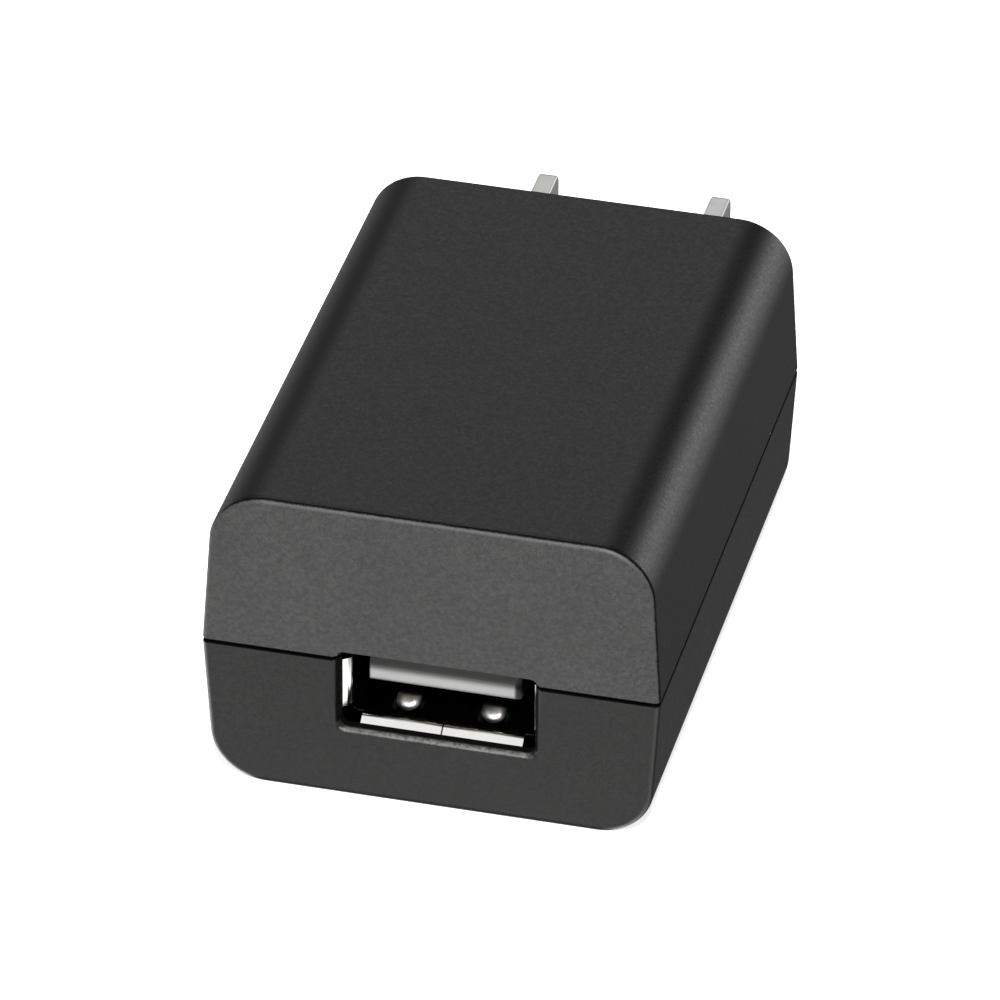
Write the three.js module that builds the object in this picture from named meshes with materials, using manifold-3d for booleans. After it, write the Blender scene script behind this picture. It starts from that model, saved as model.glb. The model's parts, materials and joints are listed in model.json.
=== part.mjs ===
// USB wall charger, US two-blade type, one USB-A port.
// Millimetres, +Z up. The body is modelled with its front face (the port side) at y = 0 and the
// blades towards +Y, then the whole assembly is moved so that the origin is the centre of the
// underside of its overall box.
import * as THREE from 'three';
import { mergeVertices } from 'three/addons/utils/BufferGeometryUtils.js';
import Module from 'manifold-3d';

const wasm = await Module();
wasm.setup();

// ---------------------------------------------------------------- driving dimensions
const WIDTH = 31.44;         // body width at the parting line
const LENGTH = 43.13;        // body length, front face to outlet face
const HEIGHT = 22.82;        // body height
const PARTING = 11.085;      // height of the parting line between the two shells
const DRAFT_SIDE_UP = 0.77;  // inset of each side at the top
const DRAFT_SIDE_DOWN = 0.65; // inset of each side at the bottom
const DRAFT_FRONT_UP = 0.15; // inset of the front face at the top
const DRAFT_FRONT_DOWN = 0.25; // inset of the front face at the bottom
const CORNER_UP = 3.94;      // radius of the two long edges along the top
const CORNER_DOWN = 3.88;    // radius of the two long edges along the bottom
const EDGE = 0.42;           // fillet round the front face and round the outlet face
const WALL = 1.75;           // side walls, top and bottom
const WALL_FRONT = 1.35;
const WALL_REAR = 1.8;
const SEAM_GAP = 0.22;       // open gap at the parting line
const LIP = 0.9;             // the lower shell's lip starts this far in
const LIP_HEIGHT = 1.15;

const BLADE_PITCH = 12.7;    // two-blade plug, centre to centre
const BLADE_THICK = 1.4;
const BLADE_WIDE = 6.35;
const BLADE_OUT = 16.77;      // how far the blades stand out of the outlet face
const BLADE_Z = 10.9;        // height of the blades' centre line
const BLADE_TIP_R = 0.7;
const BLADE_TAIL_Y = 36.5;

const PORT_X = 0.5;          // the receptacle sits a little off the middle
const OPENING_X = 0.45;      // middle of the opening in the housing
const PORT_W = 13.44;        // opening in the housing
const PORT_LOW = 5.42;
const PORT_HIGH = 11.7;
const PORT_WALL = 1.15;      // the front wall is thinner round the opening, for the flared lips
const PORT_R = 0.6;

const SHELL_IN_W = 12.5;     // USB-A receptacle, inside of the metal shell
const SHELL_IN_H = 5.12;
const SHELL_T = 0.3;
const SHELL_Z = 8.34;        // its centre height
const SHELL_Y0 = 2.15;        // where the plain tube starts, behind the flared lips
const SHELL_Y1 = 13.6;
const FLARE_TALL = 3.8;       // the side lips
const FLARE_WIDE = 11.17;      // the upper and lower lips, each split by the seam
const FLARE_Y = 1.22;        // front of the flared lips
const TONGUE_W = 10.4;
const TONGUE_Z0 = 8.22;
const TONGUE_Z1 = 10.1;
const TONGUE_Y = 2.15;
const CONTACT_X = [-3.5, -1.0, 1.0, 3.5];
const CONTACT_W = 1.0;
const FINGER_X = 2.94;       // retention fingers, either side of the port's middle
const FINGER_W = 1.65;

const BOARD_Z0 = 3.9;
const BOARD_Z1 = 5.1;
const BOARD_Y0 = 4.7;
const BOARD_Y1 = 37.0;
const BOARD_X = 12.8;

const CORE_Y = 21.6;         // middle of the transformer
const CORE_Z = 11.9;

const TOTAL = LENGTH + BLADE_OUT;

// ---------------------------------------------------------------- helpers
function solid(geometry) {
  let g = geometry.index ? geometry.toNonIndexed() : geometry.clone();
  g.deleteAttribute('normal');
  g.deleteAttribute('uv');
  g = mergeVertices(g, 1e-4);
  return new wasm.Manifold(new wasm.Mesh({
    numProp: 3,
    vertProperties: new Float32Array(g.attributes.position.array),
    triVerts: new Uint32Array(g.index.array),
  }));
}

function geometryOf(body) {
  const m = body.getMesh();
  const n = m.numProp;
  const count = m.vertProperties.length / n;
  const pos = new Float32Array(count * 3);
  for (let i = 0; i < count; i++) {
    pos[3 * i] = m.vertProperties[n * i];
    pos[3 * i + 1] = m.vertProperties[n * i + 1];
    pos[3 * i + 2] = m.vertProperties[n * i + 2];
  }
  const g = new THREE.BufferGeometry();
  g.setAttribute('position', new THREE.BufferAttribute(pos, 3));
  g.setIndex(new THREE.BufferAttribute(new Uint32Array(m.triVerts), 1));
  g.computeVertexNormals();
  return g;
}

function block(x0, x1, y0, y1, z0, z1) {
  const g = new THREE.BoxGeometry(x1 - x0, y1 - y0, z1 - z0);
  g.translate((x0 + x1) / 2, (y0 + y1) / 2, (z0 + z1) / 2);
  return solid(g);
}

// an upright cylinder
function post(x, y, z0, z1, r, sides = 12) {
  const g = new THREE.CylinderGeometry(r, r, z1 - z0, sides);
  g.rotateX(Math.PI / 2);
  g.translate(x, y, (z0 + z1) / 2);
  return solid(g);
}

// a turned piece: profile points are [radius, height], from the axis back to the axis
function turned(profile, x, y, z, sides = 32) {
  const g = new THREE.LatheGeometry(profile.map(([r, h]) => new THREE.Vector2(r, h)), sides);
  g.rotateX(Math.PI / 2);
  g.translate(x, y, z);
  return solid(g);
}

// an outline in Y and Z, as thick as x0 to x1
function sideCut(points, x0, x1) {
  const shape = new THREE.Shape(points.map(([y, z]) => new THREE.Vector2(y, z)));
  const g = new THREE.ExtrudeGeometry(shape, { depth: x1 - x0, bevelEnabled: false });
  // the shape's x, y and depth become Y, Z and X
  g.applyMatrix4(new THREE.Matrix4().set(0, 0, 1, x0, 1, 0, 0, 0, 0, 1, 0, 0, 0, 0, 0, 1));
  return solid(g);
}

// an outline in X and Y, from z0 to z1
function planCut(points, z0, z1) {
  const shape = new THREE.Shape(points.map(([x, y]) => new THREE.Vector2(x, y)));
  const g = new THREE.ExtrudeGeometry(shape, { depth: z1 - z0, bevelEnabled: false });
  g.translate(0, 0, z0);
  return solid(g);
}

// an outline in X and Z, from y0 to y1
function frontCut(points, y0, y1) {
  const shape = new THREE.Shape(points.map(([x, z]) => new THREE.Vector2(x, z)));
  const g = new THREE.ExtrudeGeometry(shape, { depth: y1 - y0, bevelEnabled: false });
  g.applyMatrix4(new THREE.Matrix4().set(1, 0, 0, 0, 0, 0, -1, y1, 0, 1, 0, 0, 0, 0, 0, 1));
  return solid(g);
}

// a strip of even thickness along a line of points, as a closed outline
function stripOutline(line, t) {
  const left = [];
  const right = [];
  for (let i = 0; i < line.length; i++) {
    const a = line[Math.max(i - 1, 0)];
    const b = line[Math.min(i + 1, line.length - 1)];
    let nx = -(b[1] - a[1]);
    let ny = b[0] - a[0];
    const l = Math.hypot(nx, ny);
    nx /= l;
    ny /= l;
    // keep the thickness on both sides of a bend
    let k = 1;
    if (i > 0 && i < line.length - 1) {
      const ux = line[i][0] - a[0];
      const uy = line[i][1] - a[1];
      const ul = Math.hypot(ux, uy);
      k = 1 / Math.max(0.5, (-uy * nx + ux * ny) / ul);
    }
    left.push([line[i][0] + nx * t / 2 * k, line[i][1] + ny * t / 2 * k]);
    right.push([line[i][0] - nx * t / 2 * k, line[i][1] - ny * t / 2 * k]);
  }
  return right.concat(left.reverse());
}

// a rounded rectangle, anticlockwise, with n steps to a corner
function rounded(x0, x1, y0, y1, r, n = 8) {
  const out = [];
  const corners = [[x1 - r, y0 + r, -90], [x1 - r, y1 - r, 0], [x0 + r, y1 - r, 90], [x0 + r, y0 + r, 180]];
  for (const [cx, cy, a0] of corners) {
    for (let i = 0; i <= n; i++) {
      const a = (a0 + 90 * i / n) * Math.PI / 180;
      out.push([cx + r * Math.cos(a), cy + r * Math.sin(a)]);
    }
  }
  return out;
}

// a closed body through rings of equal length, each a list of [x, y, z], stacked along Y
function loft(rings) {
  const n = rings[0].length;
  const pos = rings.flat(2);
  const index = [];
  for (let k = 0; k + 1 < rings.length; k++) {
    for (let i = 0; i < n; i++) {
      const j = (i + 1) % n;
      const a = k * n + i, b = k * n + j, c = (k + 1) * n + j, d = (k + 1) * n + i;
      index.push(a, b, c, a, c, d);
    }
  }
  // the rings run anticlockwise seen from the front, so the first cap faces forwards
  const cap = (ring) => THREE.ShapeUtils.triangulateShape(ring.map(([x, , z]) => new THREE.Vector2(x, z)), []);
  for (const [a, b, c] of cap(rings[0])) index.push(a, b, c);
  const last = (rings.length - 1) * n;
  for (const [a, b, c] of cap(rings[rings.length - 1])) index.push(last + c, last + b, last + a);
  const g = new THREE.BufferGeometry();
  g.setAttribute('position', new THREE.Float32BufferAttribute(pos, 3));
  g.setIndex(index);
  // a ring's quads face inwards as written above, so turn them round
  for (let i = 0; i < 6 * n * (rings.length - 1); i += 3) {
    const t = g.index.array[i + 1];
    g.index.array[i + 1] = g.index.array[i + 2];
    g.index.array[i + 2] = t;
  }
  return solid(g);
}

// half of the body's section in X and Z, brought in by the given amount: the upper half when up is
// true. It starts at the parting line on the right, for the upper half, and goes anticlockwise.
function halfSection(up, inset, edgeZ, chamfer = 0, n = 9) {
  const h = up ? HEIGHT - PARTING : PARTING;
  const lean = Math.atan2(up ? DRAFT_SIDE_UP : DRAFT_SIDE_DOWN, h);
  const r = (up ? CORNER_UP : CORNER_DOWN) - inset;
  const d = h - inset - r;                       // height of the corner's centre above the parting line
  const cx = WIDTH / 2 - Math.tan(lean) * d - inset / Math.cos(lean) - r / Math.cos(lean);
  const right = [[WIDTH / 2 - inset / Math.cos(lean) - chamfer, edgeZ]];
  if (chamfer > 0) right.push([WIDTH / 2 - inset / Math.cos(lean), edgeZ + chamfer]);
  for (let i = 0; i <= n; i++) {
    const a = lean + (Math.PI / 2 - lean) * i / n;
    right.push([cx + r * Math.cos(a), d + r * Math.sin(a)]);
  }
  // heights above the parting line; mirrored below it for the lower half
  const left = right.map(([x, z]) => [-x, z]).reverse();
  const all = right.concat(left).map(([x, z]) => [x, up ? PARTING + z : PARTING - z]);
  return up ? all : all.reverse();
}

// where the front face is at height z
function frontAt(z) {
  return z >= PARTING ? (z - PARTING) / (HEIGHT - PARTING) * DRAFT_FRONT_UP : (PARTING - z) / PARTING * DRAFT_FRONT_DOWN;
}

// one half of the body, solid, its open edge at edgeZ from the parting line
function halfBody(up, edgeZ, chamfer) {
  const rings = [];
  const steps = 4;
  for (let i = 0; i <= steps; i++) {
    const a = i / steps * Math.PI / 2;
    const e = EDGE * (1 - Math.sin(a));
    rings.push(halfSection(up, e, edgeZ, chamfer).map(([x, z]) => [x, frontAt(z) + EDGE * (1 - Math.cos(a)), z]));
  }
  for (let i = steps; i >= 0; i--) {
    const a = i / steps * Math.PI / 2;
    const e = EDGE * (1 - Math.sin(a));
    rings.push(halfSection(up, e, edgeZ, chamfer).map(([x, z]) => [x, LENGTH - EDGE * (1 - Math.cos(a)), z]));
  }
  return loft(rings);
}

// the hollow in one half
function halfHollow(up) {
  const at = (y) => halfSection(up, WALL, -4).map(([x, z]) => [x, y, z]);
  return loft([at(WALL_FRONT), at(LENGTH - WALL_REAR)]);
}

const parts = [];
function part(name, body, look) {
  parts.push({ name, body, look });
}

// ---------------------------------------------------------------- looks
const HOUSING = { color: 0x2b2b2c, roughness: 0.62, metalness: 0 };
const NICKEL = { color: 0xc6c5c0, roughness: 0.32, metalness: 1 };
const STEEL = { color: 0xb9bbbd, roughness: 0.25, metalness: 1 };
const TONGUE = { color: 0xe4e4e0, roughness: 0.5, metalness: 0 };
const GOLD = { color: 0xd8b25a, roughness: 0.25, metalness: 1 };
const BRASS = { color: 0xc9a45a, roughness: 0.35, metalness: 1 };
const BOARD = { color: 0x2f6b3a, roughness: 0.5, metalness: 0 };
const NYLON = { color: 0x1f1f21, roughness: 0.6, metalness: 0 };
const FERRITE = { color: 0x3b3b3d, roughness: 0.7, metalness: 0.1 };
const COPPER = { color: 0xb5673a, roughness: 0.35, metalness: 1 };
const WIRE = { color: 0xd9b27a, roughness: 0.45, metalness: 0 };
const TAPE = { color: 0xd9c23a, roughness: 0.4, metalness: 0 };
const SLEEVE = { color: 0x23242a, roughness: 0.35, metalness: 0 };
const SLEEVE_GREEN = { color: 0x1f4d3a, roughness: 0.35, metalness: 0 };
const CERAMIC = { color: 0x2e62b0, roughness: 0.35, metalness: 0 };
const RESISTOR = { color: 0x8fb0a0, roughness: 0.45, metalness: 0 };
const HEATSHRINK = { color: 0x26262a, roughness: 0.5, metalness: 0 };
const EPOXY = { color: 0x1c1c1e, roughness: 0.5, metalness: 0 };
const CHIP = { color: 0x151517, roughness: 0.4, metalness: 0 };
const CHIPCAP = { color: 0xa9855c, roughness: 0.5, metalness: 0 };

// ---------------------------------------------------------------- cutters shared by the shells
const portX0 = OPENING_X - PORT_W / 2;
const portX1 = OPENING_X + PORT_W / 2;
function portCut() {
  const pocket = block(portX0 - 0.8, portX1 + 0.8, PORT_WALL, 1.6, PORT_LOW - 0.75, PORT_HIGH + 0.5);
  return frontCut(rounded(portX0, portX1, PORT_LOW, PORT_HIGH, PORT_R, 4), -1, 3.2).add(pocket);
}
function bladeSlots() {
  const g = 0.06;
  let cut = null;
  for (const s of [-1, 1]) {
    const x = s * BLADE_PITCH / 2;
    const b = block(x - BLADE_THICK / 2 - g, x + BLADE_THICK / 2 + g, 39, LENGTH + 1, BLADE_Z - BLADE_WIDE / 2 - g, BLADE_Z + BLADE_WIDE / 2 + g);
    cut = cut ? cut.add(b) : b;
  }
  return cut;
}

// ---------------------------------------------------------------- lower shell
{
  let body = halfBody(false, SEAM_GAP / 2, 0.08);
  // the lip that stands up inside the upper shell
  body = body.add(block(-WIDTH / 2 + LIP, WIDTH / 2 - LIP, LIP, LENGTH - LIP, PARTING - 0.6, PARTING + LIP_HEIGHT));
  body = body.subtract(halfHollow(false));
  // ledges for the circuit board
  for (const [x0, x1] of [[-13.8, -11.9], [11.9, 13.8]]) {
    for (const [y0, y1] of [[5.2, 7.4], [33.4, 35.6]]) {
      body = body.add(block(x0, x1, y0, y1, WALL - 0.3, BOARD_Z0 - 0.03));
    }
  }
  // cradle ribs under the blade carrier
  for (const x of [-8.6, 0, 8.6]) {
    body = body.add(block(x - 0.6, x + 0.6, 37.6, LENGTH - WALL_REAR + 0.2, WALL - 0.3, 7.15));
  }
  body = body.subtract(portCut());
  body = body.subtract(block(portX0 - 0.6, portX1 + 0.6, LIP - 0.1, 3, PARTING - SEAM_GAP / 2, PARTING + 3));
  body = body.subtract(bladeSlots());
  part('lower_shell', body, HOUSING);
}

// ---------------------------------------------------------------- upper shell
{
  let body = halfBody(true, SEAM_GAP / 2, 0.08);
  body = body.subtract(halfHollow(true));
  // the rebate that takes the lower shell's lip, left out above the port
  const r = LIP - 0.1;
  const rebate = block(-WIDTH / 2 + r, WIDTH / 2 - r, r, LENGTH - r, PARTING - 1, PARTING + LIP_HEIGHT + 0.1)
    .subtract(block(portX0 - 0.5, portX1 + 0.5, -1, 2.5, 0, 20));
  body = body.subtract(rebate);
  // ribs that press the blade carrier down
  for (const x of [-8.6, 0, 8.6]) {
    body = body.add(block(x - 0.6, x + 0.6, 37.6, LENGTH - WALL_REAR + 0.2, 14.85, HEIGHT - WALL + 0.3));
  }
  body = body.subtract(portCut());
  body = body.subtract(bladeSlots());
  part('upper_shell', body, HOUSING);
}

// ---------------------------------------------------------------- mains blades, their carrier and springs
for (const [name, s] of [['live_blade', 1], ['neutral_blade', -1]]) {
  const x = s * BLADE_PITCH / 2;
  const z0 = BLADE_Z - BLADE_WIDE / 2;
  const z1 = BLADE_Z + BLADE_WIDE / 2;
  const y1 = TOTAL;
  const out = [[BLADE_TAIL_Y, z0 + 1.2], [37.2, z0 + 1.2], [37.2, z0]];
  for (let i = 0; i <= 6; i++) {
    const a = (-90 + 15 * i) * Math.PI / 180;
    out.push([y1 - BLADE_TIP_R + BLADE_TIP_R * Math.cos(a), z0 + BLADE_TIP_R + BLADE_TIP_R * Math.sin(a)]);
  }
  for (let i = 0; i <= 6; i++) {
    const a = 15 * i * Math.PI / 180;
    out.push([y1 - BLADE_TIP_R + BLADE_TIP_R * Math.cos(a), z1 - BLADE_TIP_R + BLADE_TIP_R * Math.sin(a)]);
  }
  out.push([37.2, z1], [37.2, z1 - 1.2], [BLADE_TAIL_Y, z1 - 1.2]);
  // the part held in the housing is a little thinner, so the outer faces start clear of the outlet face
  let blade = sideCut(out, x - BLADE_THICK / 2, x + BLADE_THICK / 2);
  for (const side of [-1, 1]) {
    const a = x + side * (BLADE_THICK / 2 - 0.06), b = x + side * BLADE_THICK;
    blade = blade.subtract(block(Math.min(a, b), Math.max(a, b), 30, LENGTH + 0.12, 0, 20));
  }
  part(name, blade, NICKEL);
}
{
  let body = block(-9.7, 9.7, 37.35, LENGTH - WALL_REAR - 0.05, 7.2, 14.8);
  for (const s of [-1, 1]) {
    const x = s * BLADE_PITCH / 2;
    const g = 0.04;
    body = body.subtract(block(x - BLADE_THICK / 2 - g, x + BLADE_THICK / 2 + g, 36, 44, BLADE_Z - BLADE_WIDE / 2 - g, BLADE_Z + BLADE_WIDE / 2 + g));
  }
  // lightening pocket between the blades, open to the front
  body = body.subtract(block(-4.2, 4.2, 36, 39.6, 8.6, 13.4));
  part('blade_carrier', body, NYLON);
}
for (const [name, s] of [['live_contact_spring', 1], ['neutral_contact_spring', -1]]) {
  const x = s * BLADE_PITCH / 2;
  const line = [[36.05, 3.3], [36.05, 8.2], [36.25, 10.2], [36.31, 11.0], [36.25, 11.8], [35.95, 13.0]];
  part(name, sideCut(stripOutline(line, 0.3), x - 1.2, x + 1.2), BRASS);
}

// ---------------------------------------------------------------- USB receptacle
const sx = PORT_X;
const iz0 = SHELL_Z - SHELL_IN_H / 2;
const iz1 = SHELL_Z + SHELL_IN_H / 2;
const ix = SHELL_IN_W / 2;
{
  let body = frontCut(rounded(sx - ix - SHELL_T, sx + ix + SHELL_T, iz0 - SHELL_T, iz1 + SHELL_T, 0.55, 4), SHELL_Y0, SHELL_Y1);
  body = body.subtract(frontCut(rounded(sx - ix, sx + ix, iz0, iz1, 0.25, 4), SHELL_Y0 - 1, SHELL_Y1 + 1));
  // flared lips at the mouth
  const flareSide = (s) => planCut([
    [sx + s * ix, SHELL_Y0 + 0.2], [sx + s * (ix + 0.05), FLARE_Y + 0.73], [sx + s * (ix + 0.2), FLARE_Y + 0.48],
    [sx + s * (ix + 0.55), FLARE_Y + 0.04], [sx + s * (ix + 0.75), FLARE_Y + 0.24], [sx + s * (ix + 0.45), FLARE_Y + 0.68],
    [sx + s * (ix + SHELL_T), SHELL_Y0 + 0.2],
  ], SHELL_Z - FLARE_TALL / 2, SHELL_Z + FLARE_TALL / 2);
  body = body.add(flareSide(1)).add(flareSide(-1));
  for (const s of [-1, 1]) {
    const w = (s < 0 ? iz0 : iz1);
    const outline = [
      [SHELL_Y0 + 0.2, w], [FLARE_Y + 0.7, w + s * 0.02], [FLARE_Y + 0.45, w + s * 0.1], [FLARE_Y, w + s * 0.38],
      [FLARE_Y + 0.16, w + s * 0.62], [FLARE_Y + 0.62, w + s * 0.36], [SHELL_Y0 + 0.2, w + s * SHELL_T],
    ];
    for (const [a, b] of [[-FLARE_WIDE / 2, -0.06], [0.06, FLARE_WIDE / 2]]) body = body.add(sideCut(outline, sx + a, sx + b));
  }
  // windows for the four retention fingers
  for (const s of [-1, 1]) {
    const x = sx + s * FINGER_X;
    body = body.subtract(block(x - FINGER_W / 2 - 0.3, x + FINGER_W / 2 + 0.3, 2.75, 10.2, iz0 - 1, iz0 + 0.2));
    body = body.subtract(block(x - FINGER_W / 2 - 0.3, x + FINGER_W / 2 + 0.3, 2.75, 10.2, iz1 - 0.2, iz1 + 1));
  }
  // soldered legs
  for (const s of [-1, 1]) {
    const x0 = s > 0 ? sx + ix : sx - ix - SHELL_T;
    body = body.add(block(x0, x0 + SHELL_T, 8.6, 10.6, 3.1, iz0 + 1));
  }
  part('usb_shell', body, STEEL);
}
{
  // tongue and rear block, one moulding
  let body = block(sx - TONGUE_W / 2, sx + TONGUE_W / 2, TONGUE_Y, 11.6, TONGUE_Z0, TONGUE_Z1);
  body = body.add(frontCut(rounded(sx - ix + 0.05, sx + ix - 0.05, iz0 + 0.05, iz1 - 0.05, 0.3, 3), 11.0, SHELL_Y1));
  // the tongue's front edge is chamfered above
  body = body.subtract(sideCut([[TONGUE_Y - 1, TONGUE_Z1 - 0.9], [TONGUE_Y, TONGUE_Z1 - 0.9], [TONGUE_Y + 0.45, TONGUE_Z1 + 0.1], [TONGUE_Y - 1, TONGUE_Z1 + 0.1]], sx - 7, sx + 7));
  for (const cx of CONTACT_X) {
    const x = sx + cx;
    // groove that the sprung beam lifts into, and the passage for its fixed tail
    body = body.subtract(block(x - 0.65, x + 0.65, 2.9, 11.35, 7.6, SHELL_Z + 1.44));
    body = body.subtract(block(x - CONTACT_W / 2 - 0.04, x + CONTACT_W / 2 + 0.04, 11, 15, SHELL_Z + 0.42, SHELL_Z + 0.77));
  }
  part('usb_tongue', body, TONGUE);
}
{
  const names = ['vbus', 'dminus', 'dplus', 'gnd'];
  names.forEach((n, i) => {
    const x = sx + CONTACT_X[i];
    const beam = [[11.15, 0.59], [9.6, 0.54], [6.2, 0.14], [5.1, -0.14], [4.6, -0.22], [4.15, -0.12], [3.75, 0.22], [3.35, 0.67]].map(([y, z]) => [y, SHELL_Z + z]);
    part('usb_contact_' + n, sideCut(stripOutline(beam, 0.25), x - CONTACT_W / 2, x + CONTACT_W / 2), GOLD);
    part('usb_tail_' + n, sideCut([[11.45, SHELL_Z + 0.465], [11.45, SHELL_Z + 0.715], [13.98, SHELL_Z + 0.715], [13.98, 3.2], [13.73, 3.2], [13.73, SHELL_Z + 0.465]].reverse(), x - CONTACT_W / 2, x + CONTACT_W / 2), GOLD);
  });
}
{
  for (const [side, s] of [['left', -1], ['right', 1]]) {
    const x = sx + s * FINGER_X;
    const low = [[9.9, -0.15], [9.0, -0.12], [6.8, 0.12], [5.2, 0.27], [4.5, 0.3], [4.1, 0.24], [3.75, 0.08], [3.5, -0.12], [3.32, -0.36]].map(([y, z]) => [y, iz0 + z]);
    part('usb_finger_lower_' + side, sideCut(stripOutline(low, 0.28), x - FINGER_W / 2, x + FINGER_W / 2), STEEL);
    const high = low.map(([y, z]) => [y, 2 * SHELL_Z - z]);
    part('usb_finger_upper_' + side, sideCut(stripOutline(high, 0.28), x - FINGER_W / 2, x + FINGER_W / 2), STEEL);
  }
}

// ---------------------------------------------------------------- circuit board
const holes = [];
function lead(x, y, z1, r = 0.3) {
  holes.push([x, y, r + 0.15]);
  return post(x, y, BOARD_Z0 - 0.8, z1, r, 8);
}

// ---------------------------------------------------------------- electrolytic capacitors
function can(name, x, y, d, h, pitch, look, along = 'x') {
  const r = d / 2;
  const z = BOARD_Z1 + 0.1;
  let body = turned([
    [0, 0], [r - 0.25, 0], [r, 0.2], [r, 1.1], [r - 0.28, 1.45], [r, 1.8],
    [r, h - 0.35], [r - 0.35, h], [r - 0.8, h], [r - 0.9, h - 0.15], [0, h - 0.15],
  ], x, y, z);
  const dx = along === 'x' ? pitch / 2 : 0;
  const dy = along === 'x' ? 0 : pitch / 2;
  body = body.add(lead(x - dx, y - dy, z + 0.5)).add(lead(x + dx, y + dy, z + 0.5));
  part(name, body, look);
}
can('bulk_capacitor_left', -9.15, 31.9, 8, 12.5, 3.5, SLEEVE);
can('bulk_capacitor_right', 9.15, 31.9, 8, 12.5, 3.5, SLEEVE);
can('output_capacitor_large', -10.0, 8.1, 6.3, 11, 2.5, SLEEVE_GREEN, 'y');
can('output_capacitor_small', 10.25, 7.6, 5, 11, 2.0, SLEEVE_GREEN, 'y');
can('supply_capacitor', 10.3, 16.2, 5, 7.5, 2.0, SLEEVE, 'y');

// ---------------------------------------------------------------- safety capacitor, a coated disc on edge
{
  const g = new THREE.CylinderGeometry(3.6, 3.6, 2.4, 28);
  g.rotateZ(Math.PI / 2);
  g.translate(-10.6, 21.6, 9.9);
  let body = solid(g);
  const g2 = new THREE.CylinderGeometry(3.0, 3.0, 3.0, 28);
  g2.rotateZ(Math.PI / 2);
  g2.translate(-10.6, 21.6, 9.9);
  body = body.add(solid(g2));
  body = body.add(lead(-10.6, 19.1, 8.6)).add(lead(-10.6, 24.1, 8.6));
  part('safety_capacitor', body, CERAMIC);
}

// ---------------------------------------------------------------- input choke and fusible resistor
{
  let body = turned([[0, 0], [2.5, 0], [2.5, 1.0], [2.0, 1.2], [2.0, 6.8], [2.5, 7.0], [2.5, 8.0], [0, 8.0]], -2.4, 33.3, BOARD_Z1 + 0.1, 28);
  body = body.add(lead(-3.6, 33.3, 5.6)).add(lead(-1.2, 33.3, 5.6));
  part('input_choke', body, HEATSHRINK);
}
{
  // stands on end: the body, and its upper wire folded back down beside it
  let body = turned([[0, 0], [0.9, 0], [1.35, 0.5], [1.35, 1.4], [1.1, 1.8], [1.1, 4.6], [1.35, 5.0], [1.35, 5.9], [0.9, 6.4], [0, 6.4]], 1.9, 33.3, BOARD_Z1 + 0.8, 20);
  body = body.add(lead(1.9, 33.3, BOARD_Z1 + 1.2));
  body = body.add(block(1.6, 4.3, 33.0, 33.6, 12.1, 12.7)).add(post(1.9, 33.3, 12.0, 12.7, 0.3, 8)).add(lead(4.0, 33.3, 12.4));
  part('fusible_resistor', body, RESISTOR);
}

// ---------------------------------------------------------------- transformer
{
  const A = 6.6, DEPTH = 6.1, TH = 3.1, LEG = 1.4, WIN = 5.1, BACK = 1.5;
  for (const [name, s] of [['core_half_front', -1], ['core_half_rear', 1]]) {
    const y = (v) => CORE_Y + s * v;
    const bx = (x0, x1, a, b) => block(x0, x1, Math.min(y(a), y(b)), Math.max(y(a), y(b)), CORE_Z - TH, CORE_Z + TH);
    let body = bx(-A, A, DEPTH - BACK, DEPTH);
    body = body.add(bx(-A, -WIN, 0.03, DEPTH)).add(bx(WIN, A, 0.03, DEPTH)).add(bx(-LEG, LEG, 0.1, DEPTH));
    part(name, body, FERRITE);
  }
  // bobbin: tube, two flanges and the two pin rails
  const T = 0.75;
  let bob = block(-LEG - 0.05 - T, LEG + 0.05 + T, CORE_Y - 4.5, CORE_Y + 4.5, CORE_Z - TH - 0.05 - T, CORE_Z + TH + 0.05 + T);
  for (const s of [-1, 1]) {
    const a = CORE_Y + s * 3.8, b = CORE_Y + s * 4.5;
    bob = bob.add(block(-5.0, 5.0, Math.min(a, b), Math.max(a, b), CORE_Z - 6.35, CORE_Z + 6.35));
    const c = CORE_Y + s * 4.2, d = CORE_Y + s * 6.8;
    bob = bob.add(block(-6.4, 6.4, Math.min(c, d), Math.max(c, d), CORE_Z - 6.35, CORE_Z - TH - 0.2));
    for (const px of [-5, -1.7, 1.7, 5]) {
      bob = bob.add(lead(px, CORE_Y + s * 6.0, CORE_Z - 6.0, 0.3));
    }
  }
  bob = bob.subtract(block(-LEG - 0.05, LEG + 0.05, CORE_Y - 8, CORE_Y + 8, CORE_Z - TH - 0.05, CORE_Z + TH + 0.05));
  part('transformer_bobbin', bob, NYLON);
  const ring = (x0, z0, r0, x1, z1, r1, half) => {
    let b = frontCut(rounded(-x1, x1, CORE_Z - z1, CORE_Z + z1, r1, 4), CORE_Y - half, CORE_Y + half);
    return b.subtract(frontCut(rounded(-x0, x0, CORE_Z - z0, CORE_Z + z0, r0, 4), CORE_Y - half - 1, CORE_Y + half + 1));
  };
  part('primary_winding', ring(2.24, 3.94, 0.1, 3.3, 4.95, 0.6, 3.75), COPPER);
  part('winding_insulation', ring(3.34, 4.99, 0.62, 3.54, 5.19, 0.8, 3.75), TAPE);
  part('secondary_winding', ring(3.58, 5.23, 0.82, 4.32, 5.92, 1.1, 3.75), WIRE);
  part('winding_tape', ring(4.36, 5.96, 1.12, 4.6, 6.2, 1.35, 3.75), TAPE);
}

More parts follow.
